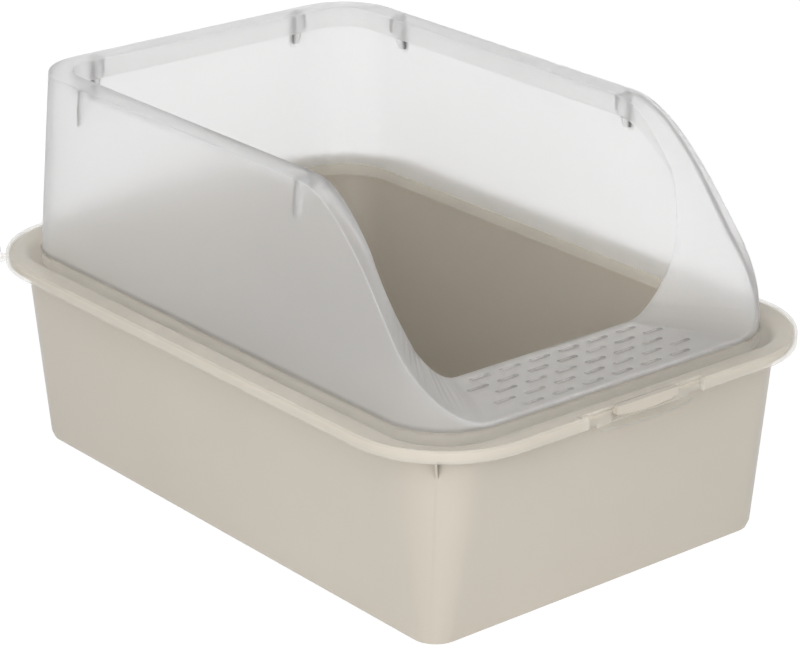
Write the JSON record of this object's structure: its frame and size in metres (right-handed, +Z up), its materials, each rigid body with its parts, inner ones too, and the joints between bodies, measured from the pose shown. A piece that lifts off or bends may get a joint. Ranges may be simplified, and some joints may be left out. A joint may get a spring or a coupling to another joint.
{
  "type": "open cat litter box",
  "caption": "Deep litter pan with a high translucent surround that clasps its rim, a low perforated step at the front and a swinging window latch.",
  "frame": {"origin": "centre of the pan's flat base, on the surface it stands on", "axes": "+Z up, Y along the length with the low entry and the latch facing -Y, X across the width"},
  "size_m": [0.3857, 0.566, 0.302],
  "materials": {
    "pan": "satin",
    "frosted": "frosted"
  },
  "bodies": {
    "pan": {"litter_pan": "pan"},
    "guard": {"surround": "frosted"},
    "latch": {"front_latch": "frosted"}
  },
  "joints": [
    {"name": "surround_lift", "type": "slide", "parent": "pan", "child": "guard", "axis": [0, 0, 1], "range_m": [0, 0.15]},
    {"name": "latch_swing", "type": "hinge", "parent": "guard", "child": "latch", "pos_m": [0, -0.275, 0.1555], "axis": [-1, 0, 0], "range_deg": [0, 60]}
  ]
}
